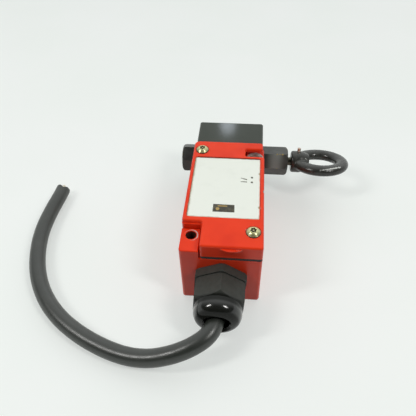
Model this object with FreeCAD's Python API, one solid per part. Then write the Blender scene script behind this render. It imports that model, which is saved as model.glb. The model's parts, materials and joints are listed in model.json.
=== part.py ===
import FreeCAD
import Part
import math

# Rope pull switch: a limit-switch housing with a rope head on its far end and a cable gland on its front.
# Millimetres. The origin is the middle of the two fixing holes on the flat back face, +Z points out of
# the cover, +Y runs from the cable gland to the rope head, and the rope pulls along +X.

V = FreeCAD.Vector

# Fixing pattern and housing
hole_pitch_x = 30.0
hole_pitch_y = 60.0
fixing_hole_d = 5.3
side_margin = 5.0
front_margin = 10.0
rear_margin = 8.0
body_top_z = 33.0
body_floor = 4.0
front_wall = 6.0
end_wall = 5.0
wall = 2.6
corner_r = 1.5
base_edge_r = 0.6
ear_height = 5.2
ear_gap = 0.6
ear_edge_r = 0.5

# Cover, its cut-outs beside the ears, and its seal
gasket_thickness = 1.8
gasket_inset = 0.1
cover_height = 7.9
cover_roof = 2.4
cover_edge_r = 1.0
cover_corner_r = 1.2
cover_rear_left_r = 3.0
cutout_corner_r = 1.2
lip_thickness = 2.0
lip_inset = 0.8
ledge_depth = 0.7
near_ear_reach_x = 5.0
near_ear_reach_y = 5.6
far_ear_reach_x = 5.5
far_ear_reach_y = 4.2
far_slot_back = 1.9
screw_boss_reach = 5.0
pry_ledge_length = 10.4
pry_ledge_height = 0.8
pry_ledge_depth = 1.4
pry_ledge_drop = 1.5

# Label plate in its shallow recess
label_side = 1.8
label_near_margin = 2.7
label_far_margin = 1.8
label_recess = 0.8
label_thickness = 0.4
label_corner_r = 1.5
label_gap = 0.15

# Cover screws
cover_screw_d = 4.0
cover_screw_head_d = 7.0
cover_screw_head_h = 2.3
cover_screw_crown_share = 0.85
cover_screw_sink = 0.3
cover_screw_grip = 10.0
counterbore_gap = 0.4

# General clearances
thread_gap = 0.05
hole_gap = 0.25
running_gap = 0.05
seat_gap = 0.05
pan_crown_share = 0.55
touch = 1e-5
blind_end = 1.0

# Rope head
head_inset = 0.7
head_depth = 21.3
head_gasket = 0.8
head_gasket_inset = 0.5
head_corner_r = 1.5
head_edge_r = 1.0
head_z = 21.0
rod_back = 9.7
head_screw_d = 3.0
head_screw_side = 5.0
head_screw_pitch_z = 19.0
head_screw_head_d = 5.6
head_screw_head_h = 2.6
head_screw_sink = 3.2
head_screw_grip = 4.0

# Pull rod, its cam and its travel
rod_d = 5.0
rod_travel = 10.0
cam_angle = 18.0
cam_start_r = 3.4
cam_nose = 1.0
cam_lead = 1.2
cam_rim = 1.5
cam_bore_gap = 0.4
cam_hub_length = 3.2
cam_pin_d = 1.6
rest_gap = 0.3
rod_tail = 14.2
tail_end_gap = 0.6

# Spring barrel and end cap, both hexagonal outside
bush_thread_d = 14.0
bush_thread_length = 5.5
bush_af = 15.0
barrel_length = 16.0
barrel_bore_d = 11.0
barrel_guide = 3.0
barrel_face_normal = 97.0
cap_length = 10.2
cap_face_normal = 117.0
bush_round = 3.0
bush_round_rise = 2.4
bush_round_bulge = 0.66
seal_depth = 2.0
seal_d = 9.2

# Return spring and its seat
seat_d = 9.6
seat_thickness = 1.2
spring_mean_d = 8.6
spring_wire_d = 1.2
spring_turns = 8.5

# Rope eye and its cross pin
eye_gap = 2.1
boss_d = 13.2
boss_edge = 0.8
boss_straight = 5.6
boss_tip_d = 10.0
boss_tip_r = 0.8
eye_ring_r = 13.3
eye_bar_width = 8.0
eye_bar_thickness = 6.3
eye_blend_r = 0.6
eye_inset = 0.4
eye_throat = 6.8
eye_socket = 7.5
eye_tilt = -18.5
eye_pin_d = 2.0
eye_pin_from_face = 4.6
eye_pin_up = 8.8
eye_pin_down = 6.0

# Plunger between the cam and the contacts
plunger_d = 6.0
plunger_end_gap = 4.2
plunger_hole_gap = 0.3
bush_wall = 2.0
bush_flange = 1.5
bush_flange_t = 1.0
plunger_seal_t = 1.6

# Contact block on the floor of the housing
block_side_gap = 1.9
block_end_gap = 1.5
block_plate = 2.5
tower_width = 9.0
tower_end = 6.5
tower_top_z = 20.0
end_stop = 2.0
end_stop_half = 4.5
carrier_gap = 1.0
carrier_below = 4.0
carrier_above = 5.5
carrier_nose = 5.5
rail_half = 3.0
bridge_overhang = 0.9
bridge_height = 3.0
bridge_thickness = 1.0
bridge_z = 23.0
contact_gap = 0.1
contact_margin = 0.3
window_web = 3.0
window_margin = 0.5
contact_tab = 2.3
contact_tab_height = 4.0
contact_strip = 1.0
contact_strip_width = 5.4
contact_overhang = 1.5
contact_edge = 0.3
terminal_inset = 5.0
terminal_offset = 2.9
terminal_screw_d = 3.2
terminal_head_d = 5.8
terminal_head_h = 2.2
terminal_grip = 6.0
block_screw_d = 3.0
block_screw_head_d = 5.6
block_screw_head_h = 2.0
block_screw_x = 11.0
block_screw_end = 3.0
block_screw_grip = 2.5
return_coil_d = 5.0
return_wire_d = 0.7
return_turns = 4.5
bridge_coil_d = 2.6
bridge_wire_d = 0.5
bridge_coil_pitch = 0.95

# Earth terminal on the floor beside the cable entry
earth_side = 5.0
earth_back = 12.0
earth_screw_d = 4.0
earth_head_d = 7.0
earth_head_h = 2.4
earth_grip = 2.8

# Cable gland
gland_z = 17.0
gland_thread_d = 20.0
gland_washer_t = 0.4
gland_washer_rim = 1.5
gland_turn = -4.5
gland_collar_af = 25.2
gland_collar_t = 4.6
gland_chamfer = 0.7
gland_bore_d = 12.0
spigot_d = 17.0
spigot_length = 11.0
spigot_bore_d = 14.0
spigot_seat = 2.6
claw_count = 8
claw_slot = 1.2
claw_length = 6.0
seal_nose_d = 11.0
seal_nose = 1.0
seal_proud = 0.5
cable_gap = 0.1
nut_af = 24.0
nut_gap = 0.3
nut_hex = 9.7
nut_scallop = 2.1
nut_dome = 8.3
nut_shoulder = 6.0
nut_dome_r = 11.7
nut_mouth_d = 12.0
nut_lip = 1.0
nut_bulge_along = 0.28
nut_bulge_out = 0.66
nut_bore_gap = 0.15
nut_cone = 4.5

# Cable, and its cores inside the housing
cable_d = 8.7
core_d = 2.2
core_spread = 1.85
bend_share = 0.45

# Places worked out from the sizes above
screw_x = hole_pitch_x / 2
screw_y = hole_pitch_y / 2
half_width = screw_x + side_margin
front_y = -screw_y - front_margin
rear_y = screw_y + rear_margin
ear_z = body_top_z + ear_height
cover_z0 = body_top_z + gasket_thickness
cover_z1 = cover_z0 + cover_height
lip_z = cover_z1 - lip_thickness
tongue_x = -screw_x + near_ear_reach_x
near_wall_y = -screw_y + near_ear_reach_y
near_ledge_y = near_wall_y - ledge_depth
far_x = screw_x - far_ear_reach_x
far_wall_y = screw_y - far_ear_reach_y
far_slot_y = screw_y + far_slot_back
cavity_near_y = near_ledge_y + wall
cavity_far_y = far_wall_y - wall

head_y0 = rear_y + head_gasket
head_y1 = head_y0 + head_depth
rod_y = head_y0 + rod_back
head_half = half_width - head_inset
rod_r = rod_d / 2
cam_slope = math.tan(math.radians(cam_angle))
plunger_stroke = rod_travel * cam_slope
cam_foot_x = -(rod_travel + cam_lead)
cam_back_x = cam_foot_x - cam_rim
cam_big_r = cam_start_r - cam_foot_x * cam_slope
cam_nose_r = cam_start_r - cam_nose * cam_slope
cam_hub_x = cam_nose + cam_hub_length
cam_bore_r = cam_big_r + cam_bore_gap
bush_x = head_half - bush_thread_length
cap_face_x = cam_back_x - rest_gap
barrel_end_x = head_half + barrel_length
cap_end_x = -head_half - cap_length
spring_stop_x = barrel_end_x - seal_depth - barrel_guide
seat_x = cam_hub_x + seat_gap
eye_face_x = barrel_end_x + eye_gap
eye_centre_x = eye_face_x + eye_inset + eye_bar_width / 2 + eye_ring_r
rod_end_x = eye_face_x + eye_socket
tail_end_x = cap_face_x - rod_tail

plunger_r = plunger_d / 2
ball_y = rod_y - cam_start_r - (plunger_r + seat_gap) / math.cos(math.radians(cam_angle))
bush_inner_y = rear_y - end_wall
plunger_end_y = bush_inner_y - bush_flange_t - plunger_end_gap

block_half = half_width - wall - block_side_gap
block_y0 = cavity_near_y + block_end_gap
block_y1 = cavity_far_y - block_end_gap
block_z = body_floor + block_plate
stop_y = block_y0 + end_stop
tower_x = block_half - tower_width
tower_y0 = block_y0 + tower_end
tower_y1 = block_y1 - tower_end
contact_x = tower_x - contact_overhang
terminal_x = block_half - terminal_inset
closed_tab_y = tower_y1 - contact_margin - contact_strip_width
open_tab_y = tower_y0 + contact_margin + contact_strip_width
closed_seat_y = closed_tab_y - contact_gap
open_seat_y = open_tab_y + contact_gap + plunger_stroke
window_length = (closed_seat_y - open_seat_y - window_web) / 2
closed_window = (closed_seat_y - window_length, closed_seat_y)
open_window = (open_seat_y, open_seat_y + window_length)
carrier_half = contact_x - carrier_gap
carrier_front_y = open_seat_y - carrier_nose
carrier_z0 = head_z - carrier_below
carrier_z1 = head_z + carrier_above
strip_z = tower_top_z + contact_strip

gland_face_y = front_y - gland_washer_t
collar_end_y = gland_face_y - gland_collar_t
spigot_end_y = collar_end_y - spigot_length
seal_start_y = collar_end_y - spigot_seat
nut_start_y = collar_end_y - nut_gap
nut_hex_y = nut_start_y - nut_hex
nut_dome_y = nut_hex_y - nut_scallop
nut_end_y = nut_dome_y - nut_dome

# Route of the cable's middle line, chosen by hand: x and y from the gland's mouth, z from the table
cable_start = [(0.0, 23.4), (0.0, 6.8)]
cable_lay = [
    (-1.3, -1.6, 16.9),
    (-4.2, -6.3, 16.2),
    (-8.6, -9.5, 15.0),
    (-14.2, -12.1, 13.2),
    (-21.5, -13.9, 10.6),
    (-30.5, -14.6, 7.6),
    (-41.5, -13.3, 5.4),
    (-54.0, -9.5, 4.7),
    (-67.3, -3.5, 4.7),
    (-80.0, 4.7, 4.7),
    (-91.2, 15.8, 4.7),
    (-99.8, 29.4, 4.7),
    (-105.4, 44.8, 4.7),
    (-108.3, 61.2, 4.7),
    (-108.0, 77.4, 4.7),
    (-106.8, 88.4, 4.7),
    (-106.5, 94.6, 4.7),
]

# Routes of the two cores on the +X side, from the cable to their terminals; the -X side mirrors them
core_start_y = front_y - 1.8
near_core = [
    (core_spread, core_start_y, gland_z + core_spread),
    (2.4, front_y + 7.0, gland_z + 2.4),
    (4.6, block_y0 - 5.0, gland_z + 4.2),
    (6.2, block_y0 - 0.2, gland_z + 5.4),
    (terminal_x - 0.7, tower_y0 - 3.7, strip_z + 1.6),
    (terminal_x, tower_y0 - 0.9, strip_z + 1.4),
]
far_core = [
    (core_spread, core_start_y, gland_z - core_spread),
    (2.8, front_y + 6.0, gland_z - 1.6),
    (4.8, block_y0 - 6.0, gland_z - 0.4),
    (6.0, block_y0 - 0.4, gland_z + 1.2),
    (block_half - 3.5, tower_y0 - 3.1, strip_z + 0.4),
    (block_half, tower_y0 + 2.5, strip_z + 2.2),
    (block_half + 0.4, tower_y0 + 11.5, strip_z + 2.3),
    (block_half + 0.3, closed_tab_y - 4.6, strip_z + 2.2),
    (block_half - 0.5, closed_tab_y + 1.0, strip_z + 1.5),
]


def box(x0, x1, y0, y1, z0, z1):
    return Part.makeBox(x1 - x0, y1 - y0, z1 - z0, V(x0, y0, z0))


def bar_x(y, z, radius, x0, x1):
    return Part.makeCylinder(radius, x1 - x0, V(x0, y, z), V(1, 0, 0))


def bar_y(x, z, radius, y0, y1):
    return Part.makeCylinder(radius, y1 - y0, V(x, y0, z), V(0, 1, 0))


def bar_z(x, y, radius, z0, z1):
    return Part.makeCylinder(radius, z1 - z0, V(x, y, z0), V(0, 0, 1))


def line(a, b):
    return Part.LineSegment(a, b).toShape()


def rounded_wire(points):
    """Closed wire through (corner, radius) pairs, with a tangent arc at each corner."""
    count = len(points)
    stops = []
    for i, (corner, radius) in enumerate(points):
        back = (points[i - 1][0] - corner).normalize()
        ahead = (points[(i + 1) % count][0] - corner).normalize()
        half = back.getAngle(ahead) / 2
        reach = radius / math.tan(half)
        inward = (back + ahead).normalize()
        middle = corner + inward * (radius / math.sin(half) - radius)
        stops.append((corner + back * reach, middle, corner + ahead * reach))
    edges = []
    for i, (start, middle, end) in enumerate(stops):
        edges.append(Part.Arc(start, middle, end).toShape())
        edges.append(line(end, stops[(i + 1) % count][0]))
    return Part.Wire(edges)


def slab(points, z0, z1):
    """Upright prism from (x, y, corner radius) points."""
    wire = rounded_wire([(V(x, y, z0), radius) for x, y, radius in points])
    return Part.Face(wire).extrude(V(0, 0, z1 - z0))


def edges_at_z(shape, z):
    found = []
    for edge in shape.Edges:
        limits = edge.BoundBox
        if abs(limits.ZMin - z) < touch and abs(limits.ZMax - z) < touch:
            found.append(edge)
    return found


def spin(edges, base, axis):
    """Solid of revolution of a closed outline."""
    return Part.Face(Part.Wire(edges)).revolve(base, axis, 360)


def spin_x(points, y, z):
    """Revolve (x, radius) points about the line along X at (y, z)."""
    corners = [V(x, y + radius, z) for x, radius in points]
    edges = [line(a, b) for a, b in zip(corners, corners[1:] + corners[:1])]
    return spin(edges, V(0, y, z), V(1, 0, 0))


def spin_y(points, x, z):
    """Revolve (y, radius) points about the line along Y at (x, z)."""
    corners = [V(x + radius, y, z) for y, radius in points]
    edges = [line(a, b) for a, b in zip(corners, corners[1:] + corners[:1])]
    return spin(edges, V(x, 0, z), V(0, 1, 0))


def hexagon(centre, across_flats, across, up, face_normal):
    """Closed hexagon whose first face looks at face_normal degrees from across towards up."""
    corners = []
    for k in range(6):
        turn = math.radians(face_normal + 30 + 60 * k)
        ray = across * math.cos(turn) + up * math.sin(turn)
        corners.append(centre + ray * (across_flats / math.sqrt(3)))
    return Part.Face(Part.makePolygon(corners + corners[:1]))


def rounded_path(points):
    """Open wire of straight runs, joined by tangent arcs as large as their runs allow."""
    stops = []
    for before, corner, after in zip(points, points[1:], points[2:]):
        back = before - corner
        ahead = after - corner
        reach = bend_share * min(back.Length, ahead.Length)
        back.normalize()
        ahead.normalize()
        half = back.getAngle(ahead) / 2
        radius = reach * math.tan(half)
        inward = (back + ahead).normalize()
        middle = corner + inward * (radius / math.sin(half) - radius)
        stops.append((corner + back * reach, middle, corner + ahead * reach))
    edges = []
    here = points[0]
    for start, middle, end in stops:
        edges.append(line(here, start))
        edges.append(Part.Arc(start, middle, end).toShape())
        here = end
    edges.append(line(here, points[-1]))
    return Part.Wire(edges)


def tube(points, diameter):
    """Round tube along a path of runs and arcs."""
    corners = [V(*point) for point in points]
    ring = Part.Wire(Part.makeCircle(diameter / 2, corners[0], corners[1] - corners[0]))
    return rounded_path(corners).makePipeShell([ring], True, False)


def coil(mean_d, wire_d, length, turns):
    """Helical spring standing on the XY plane, along +Z."""
    rise = length - wire_d
    helix = Part.makeHelix(rise / turns, rise, mean_d / 2)
    ring = Part.Wire(Part.makeCircle(wire_d / 2, V(mean_d / 2, 0, 0), V(0, 1, 0)))
    spring = Part.Wire(helix).makePipeShell([ring], True, True)
    spring.translate(V(0, 0, wire_d / 2))
    return spring


def along(shape, axis, place):
    """Turn a shape that stands along +Z to another axis and move its foot to a place."""
    turned = shape.copy()
    turn = FreeCAD.Placement(place, FreeCAD.Rotation(V(0, 0, 1), axis))
    turned.Placement = turn.multiply(shape.Placement)
    return turned


def pan_screw_z(x, y, seat, shank_d, head_d, head_h, length, crown_share=pan_crown_share):
    """Pan-head screw that points down, with its head's underside at height seat."""
    head_r = head_d / 2
    rise = head_h * crown_share
    dome_r = (head_r ** 2 + rise ** 2) / (2 * rise)
    dome = Part.makeSphere(dome_r, V(x, y, seat + head_h - dome_r))
    head = bar_z(x, y, head_r, seat, seat + head_h).common(dome)
    return head.fuse(bar_z(x, y, shank_d / 2, seat - length, seat)).removeSplitter()


def save(name, *solids):
    shape = solids[0] if len(solids) == 1 else Part.makeCompound(list(solids))
    shape.exportStep("parts/" + name + ".step")
    return shape


def cavity(z0, z1, y0, y1):
    """Inner room shared by the housing and its cover: a wide middle and a narrower bay at each end."""
    side = half_width - wall
    middle = box(-side, side, cavity_near_y, cavity_far_y, z0, z1)
    near_bay = box(tongue_x + wall, screw_x - screw_boss_reach, y0, cavity_near_y + wall, z0, z1)
    far_bay = box(screw_boss_reach - screw_x, far_x - wall, cavity_far_y - wall, y1, z0, z1)
    return middle.fuse([near_bay, far_bay]).removeSplitter()


def housing_outline():
    return [
        (-half_width, front_y, corner_r),
        (half_width, front_y, corner_r),
        (half_width, rear_y, corner_r),
        (-half_width, rear_y, corner_r),
    ]


def cover_wall_outline(inset):
    """Side walls of the cover, stepping round both ears."""
    left = -half_width + inset
    right = half_width - inset
    front = front_y + inset
    rear = rear_y - inset
    return [
        (tongue_x + inset, front, cover_corner_r),
        (right, front, cover_corner_r),
        (right, far_wall_y - inset, cutout_corner_r),
        (far_x - inset, far_wall_y - inset, cutout_corner_r),
        (far_x - inset, rear, cutout_corner_r),
        (left, rear, cover_rear_left_r),
        (left, near_ledge_y + inset, cutout_corner_r),
        (tongue_x + inset, near_ledge_y + inset, cutout_corner_r),
    ]


def cover_roof_outline():
    """Roof of the cover: open over the near ear, slotted over the far one."""
    lip_x = half_width - lip_inset
    return [
        (tongue_x, front_y, cover_corner_r),
        (half_width, front_y, cover_corner_r),
        (half_width, far_wall_y, cutout_corner_r),
        (far_x, far_wall_y, cutout_corner_r),
        (far_x, far_slot_y, cutout_corner_r),
        (lip_x, far_slot_y, cutout_corner_r),
        (lip_x, rear_y, cover_corner_r),
        (-half_width, rear_y, cover_rear_left_r),
        (-half_width, near_wall_y, cutout_corner_r),
        (tongue_x, near_wall_y, cutout_corner_r),
    ]


fixing_places = [(-screw_x, -screw_y), (screw_x, screw_y)]
cover_screw_places = [(screw_x, -screw_y), (-screw_x, screw_y)]
head_screw_places = []
head_screw_x = head_half - head_screw_side
for side in (-1, 1):
    for level in (-1, 1):
        head_screw_places.append((side * head_screw_x, head_z + level * head_screw_pitch_z / 2))
block_screw_places = [
    (-block_screw_x, block_y0 + block_screw_end),
    (block_screw_x, block_y1 - block_screw_end),
]
earth_x = screw_x - screw_boss_reach - earth_side
earth_y = front_y + earth_back


# Housing: one die casting with an ear at two corners and a blind boss at the other two
def make_housing():
    outline = housing_outline()
    body = slab(outline, 0, body_top_z)
    body = body.makeFillet(base_edge_r, edges_at_z(body, 0))
    blank = slab(outline, body_top_z, ear_z)
    near_ear = blank.common(
        box(-half_width, tongue_x - ear_gap, front_y, near_ledge_y - ear_gap, body_top_z, ear_z)
    )
    far_ear = blank.common(
        box(far_x + ear_gap, half_width, far_wall_y + ear_gap, rear_y, body_top_z, ear_z)
    )
    ears = [ear.makeFillet(ear_edge_r, edges_at_z(ear, ear_z)) for ear in (near_ear, far_ear)]
    body = body.fuse(ears).removeSplitter()
    cuts = [cavity(body_floor, body_top_z, front_y + front_wall, rear_y - end_wall)]
    for x, y in fixing_places:
        cuts.append(bar_z(x, y, fixing_hole_d / 2, 0, ear_z))
    screw_foot_z = body_top_z - cover_screw_grip - blind_end
    for x, y in cover_screw_places:
        cuts.append(bar_z(x, y, cover_screw_d / 2 + thread_gap, screw_foot_z, body_top_z))
    cuts.append(bar_y(0, gland_z, gland_thread_d / 2, front_y, front_y + front_wall))
    cuts.append(bar_y(0, head_z, plunger_r + running_gap + bush_wall, rear_y - end_wall, rear_y))
    for x, z in head_screw_places:
        cuts.append(bar_y(x, z, head_screw_d / 2 + thread_gap, rear_y - head_screw_grip, rear_y))
    block_foot_z = body_floor - block_screw_grip
    for x, y in block_screw_places:
        cuts.append(bar_z(x, y, block_screw_d / 2 + thread_gap, block_foot_z, body_floor))
    earth_foot_z = body_floor - earth_grip
    cuts.append(bar_z(earth_x, earth_y, earth_screw_d / 2 + thread_gap, earth_foot_z, body_floor))
    return body.cut(cuts)


# Cover: a shallow shell with a roof that overhangs the far ear
def make_cover():
    walls = slab(cover_wall_outline(0), cover_z0, lip_z)
    roof = slab(cover_roof_outline(), lip_z, cover_z1)
    roof = roof.makeFillet(cover_edge_r, edges_at_z(roof, cover_z1))
    cover = walls.fuse([roof, pry_ledge()]).removeSplitter()
    cuts = [cavity(cover_z0, cover_z1 - cover_roof, front_y + wall, rear_y - wall)]
    cuts.append(slab(label_outline(0), cover_z1 - label_recess, cover_z1))
    for x, y in cover_screw_places:
        cuts.append(bar_z(x, y, cover_screw_d / 2 + hole_gap, cover_z0, cover_z1))
        sink_r = cover_screw_head_d / 2 + counterbore_gap
        cuts.append(bar_z(x, y, sink_r, cover_z1 - cover_screw_sink, cover_z1))
    return cover.cut(cuts)


# Pry ledge: a half-moon lip on the front of the cover
def pry_ledge():
    arc_r = (pry_ledge_length ** 2 / 4 + pry_ledge_depth ** 2) / (2 * pry_ledge_depth)
    x = (tongue_x + half_width) / 2
    top = cover_z1 - pry_ledge_drop
    foot = top - pry_ledge_height
    tip_y = front_y - pry_ledge_depth
    disc = bar_z(x, tip_y + arc_r, arc_r, foot, top)
    return disc.common(box(x - arc_r, x + arc_r, tip_y, front_y + wall / 2, foot, top))


def label_outline(inset):
    x = half_width - label_side - inset
    y0 = near_wall_y + label_near_margin + inset
    y1 = far_wall_y - label_far_margin - inset
    return [
        (-x, y0, label_corner_r),
        (x, y0, label_corner_r),
        (x, y1, label_corner_r),
        (-x, y1, label_corner_r),
    ]


def make_label():
    z = cover_z1 - label_recess
    return slab(label_outline(label_gap), z, z + label_thickness)


def make_cover_gasket():
    seal = slab(cover_wall_outline(gasket_inset), body_top_z, cover_z0)
    cuts = [cavity(body_top_z, cover_z0, front_y + wall, rear_y - wall)]
    for x, y in cover_screw_places:
        cuts.append(bar_z(x, y, cover_screw_d / 2 + hole_gap, body_top_z, cover_z0))
    return seal.cut(cuts)


def make_cover_screws():
    seat = cover_z1 - cover_screw_sink
    length = seat - body_top_z + cover_screw_grip
    screws = []
    for x, y in cover_screw_places:
        screws.append(
            pan_screw_z(x, y, seat, cover_screw_d, cover_screw_head_d, cover_screw_head_h, length,
                        cover_screw_crown_share)
        )
    return screws


# Rope head: a square block bored across for the rod and its cam
def head_section(inset, z_top):
    x = head_half - inset
    corners = [(-x, -x), (x, -x), (x, z_top - head_z), (-x, z_top - head_z)]
    return [(V(cx, 0, head_z + cz), head_corner_r) for cx, cz in corners]


def make_head():
    face = Part.Face(rounded_wire(head_section(0, head_z + head_half)))
    block = face.extrude(V(0, head_depth, 0))
    block.translate(V(0, head_y0, 0))
    far_edges = [edge for edge in block.Edges if abs(edge.BoundBox.YMin - head_y1) < touch]
    block = block.makeFillet(head_edge_r, far_edges)
    cuts = [bar_x(rod_y, head_z, cam_bore_r, cap_face_x, bush_x)]
    for x0, x1 in ((-head_half, cap_face_x), (bush_x, head_half)):
        cuts.append(bar_x(rod_y, head_z, bush_thread_d / 2, x0, x1))
    cuts.append(bar_y(0, head_z, plunger_r + plunger_hole_gap, head_y0, rod_y))
    for x, z in head_screw_places:
        cuts.append(bar_y(x, z, head_screw_d / 2 + hole_gap, head_y0, head_y1))
        sink_r = head_screw_head_d / 2 + counterbore_gap
        cuts.append(bar_y(x, z, sink_r, head_y1 - head_screw_sink, head_y1))
    return block.cut(cuts)


def make_head_gasket():
    top = body_top_z - head_gasket_inset
    face = Part.Face(rounded_wire(head_section(head_gasket_inset, top)))
    sheet = face.extrude(V(0, head_gasket, 0))
    sheet.translate(V(0, rear_y, 0))
    cuts = [bar_y(0, head_z, plunger_r + plunger_hole_gap, rear_y, head_y0)]
    for x, z in head_screw_places:
        cuts.append(bar_y(x, z, head_screw_d / 2 + hole_gap, rear_y, head_y0))
    return sheet.cut(cuts)


def make_head_screws():
    seat = head_y1 - head_screw_sink
    screws = []
    for x, z in head_screw_places:
        head = bar_y(x, z, head_screw_head_d / 2, seat, seat + head_screw_head_h)
        shank = bar_y(x, z, head_screw_d / 2, rear_y - head_screw_grip, seat)
        screws.append(head.fuse(shank).removeSplitter())
    return screws


# Hexagonal bushes: the prism's outer end is rounded by a turned envelope
def bush_hex(x_in, x_out, face_normal):
    prism = hexagon(V(x_in, rod_y, head_z), bush_af, V(0, -1, 0), V(0, 0, 1), face_normal)
    prism = prism.extrude(V(x_out - x_in, 0, 0))
    corner = bush_af / math.sqrt(3)
    side = 1 if x_out > x_in else -1
    start = V(x_out - side * bush_round, rod_y + corner, head_z)
    end = V(x_out, rod_y + corner - bush_round_rise, head_z)
    bulge = V(x_out - side * bush_round_bulge, rod_y + corner - bush_round_bulge, head_z)
    axis_in = V(x_in, rod_y, head_z)
    axis_out = V(x_out, rod_y, head_z)
    rim_in = V(x_in, rod_y + corner, head_z)
    outline = [line(axis_in, rim_in), line(rim_in, start), Part.Arc(start, bulge, end).toShape()]
    outline += [line(end, axis_out), line(axis_out, axis_in)]
    return prism.common(spin(outline, axis_in, V(1, 0, 0)))


def make_barrel():
    barrel = bush_hex(head_half, barrel_end_x, barrel_face_normal)
    barrel = barrel.fuse(bar_x(rod_y, head_z, bush_thread_d / 2 - thread_gap, bush_x, head_half))
    cuts = [
        bar_x(rod_y, head_z, barrel_bore_d / 2, bush_x, spring_stop_x),
        bar_x(rod_y, head_z, rod_r + running_gap, spring_stop_x, barrel_end_x),
        bar_x(rod_y, head_z, seal_d / 2, barrel_end_x - seal_depth, barrel_end_x),
    ]
    return barrel.cut(cuts)


def make_end_cap():
    cap = bush_hex(-head_half, cap_end_x, cap_face_normal)
    cap = cap.fuse(bar_x(rod_y, head_z, bush_thread_d / 2 - thread_gap, -head_half, cap_face_x))
    return cap.cut(bar_x(rod_y, head_z, rod_r + running_gap, tail_end_x - tail_end_gap, cap_face_x))


def make_rod_seal():
    ring = bar_x(rod_y, head_z, seal_d / 2 - thread_gap, barrel_end_x - seal_depth, barrel_end_x)
    return ring.cut(bar_x(rod_y, head_z, rod_r + running_gap, barrel_end_x - seal_depth, barrel_end_x))


# Pull rod with its cone cam: pulling along +X brings a wider part of the cone over the plunger
cam_pin_x = cam_nose + cam_hub_length / 2
eye_pin_x = eye_face_x + eye_pin_from_face


def eye_pin_bar(radius, down, up):
    pin = Part.makeCylinder(radius, down + up, V(0, 0, -down))
    pin.rotate(V(0, 0, 0), V(1, 0, 0), eye_tilt)
    pin.translate(V(eye_pin_x, rod_y, head_z))
    return pin


def make_pull_rod():
    rod = bar_x(rod_y, head_z, rod_r, tail_end_x, rod_end_x)
    pin_hole = bar_z(cam_pin_x, rod_y, cam_pin_d / 2 + thread_gap, head_z - rod_d, head_z + rod_d)
    return rod.cut([pin_hole, eye_pin_bar(eye_pin_d / 2 + thread_gap, eye_pin_down, eye_pin_up)])


def make_cam():
    inner = rod_r + thread_gap
    profile = [
        (cam_back_x, inner),
        (cam_back_x, cam_big_r),
        (cam_foot_x, cam_big_r),
        (cam_nose, cam_nose_r),
        (cam_hub_x, cam_nose_r),
        (cam_hub_x, inner),
    ]
    cone = spin_x(profile, rod_y, head_z)
    pin_hole = bar_z(cam_pin_x, rod_y, cam_pin_d / 2 + thread_gap, head_z - cam_big_r, head_z + cam_big_r)
    return cone.cut(pin_hole)


def make_cam_pin():
    reach = cam_nose_r - seat_gap
    return bar_z(cam_pin_x, rod_y, cam_pin_d / 2, head_z - reach, head_z + reach)


def make_spring_seat():
    washer = bar_x(rod_y, head_z, seat_d / 2, seat_x, seat_x + seat_thickness)
    return washer.cut(bar_x(rod_y, head_z, rod_r + running_gap, seat_x, seat_x + seat_thickness))


def make_return_spring():
    foot = seat_x + seat_thickness + seat_gap
    spring = coil(spring_mean_d, spring_wire_d, spring_stop_x - foot, spring_turns)
    return along(spring, V(1, 0, 0), V(foot, rod_y, head_z))


# Rope eye: a round boss that tapers into a flattened ring
def make_eye():
    boss_r = boss_d / 2
    tip_x = eye_centre_x - eye_throat
    profile = [
        (eye_face_x, 0),
        (eye_face_x, boss_r - boss_edge),
        (eye_face_x + boss_edge, boss_r),
        (eye_face_x + boss_straight, boss_r),
        (tip_x, boss_tip_d / 2),
        (tip_x, 0),
    ]
    boss = spin_x(profile, 0, 0)
    bar = V(eye_centre_x + eye_ring_r, 0, 0)
    oval = Part.Ellipse(bar + V(eye_bar_width / 2, 0, 0), bar + V(0, 0, eye_bar_thickness / 2), bar)
    ring = Part.Face(Part.Wire(oval.toShape())).revolve(V(eye_centre_x, 0, 0), V(0, 0, 1), 360)
    eye = boss.fuse(ring).removeSplitter()
    tip_edges = []
    for edge in eye.Edges:
        limits = edge.BoundBox
        if abs(limits.XMin - tip_x) < touch and abs(limits.XMax - tip_x) < touch:
            tip_edges.append(edge)
    eye = eye.makeFillet(boss_tip_r, tip_edges)
    seams = [edge for edge in eye.Edges if edge.Curve.TypeId == "Part::GeomBSplineCurve"]
    eye = eye.makeFillet(eye_blend_r, seams)
    eye = eye.cut(Part.makeCylinder(rod_r + thread_gap, eye_socket, V(eye_face_x, 0, 0), V(1, 0, 0)))
    eye.rotate(V(0, 0, 0), V(1, 0, 0), eye_tilt)
    eye.translate(V(0, rod_y, head_z))
    return eye.cut(eye_pin_bar(eye_pin_d / 2 + thread_gap, eye_pin_down, eye_pin_up))


# Plunger: a round-nosed pin that rides on the cone and pushes the contact carrier
def make_plunger():
    shaft = bar_y(0, head_z, plunger_r, plunger_end_y, ball_y)
    nose = Part.makeSphere(plunger_r, V(0, ball_y, head_z))
    return shaft.fuse(nose).removeSplitter()


def make_plunger_bush():
    outer = plunger_r + running_gap + bush_wall - thread_gap
    inner = plunger_r + running_gap
    flange_y = bush_inner_y - bush_flange_t
    seal_y = rear_y - plunger_seal_t
    profile = [
        (flange_y, inner),
        (flange_y, outer + bush_flange),
        (bush_inner_y, outer + bush_flange),
        (bush_inner_y, outer),
        (seal_y, outer),
        (seal_y, inner),
    ]
    return spin_y(profile, 0, head_z)


def make_plunger_seal():
    outer = plunger_r + running_gap + bush_wall - thread_gap
    ring = bar_y(0, head_z, outer, rear_y - plunger_seal_t, rear_y)
    return ring.cut(bar_y(0, head_z, plunger_r + running_gap, rear_y - plunger_seal_t, rear_y))


# Contact block: base with two terminal towers, a rail for the carrier and a stop for its spring
terminals = []
for side in (-1, 1):
    terminals.append((side, closed_tab_y, 1))
    terminals.append((side, open_tab_y, -1))


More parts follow.
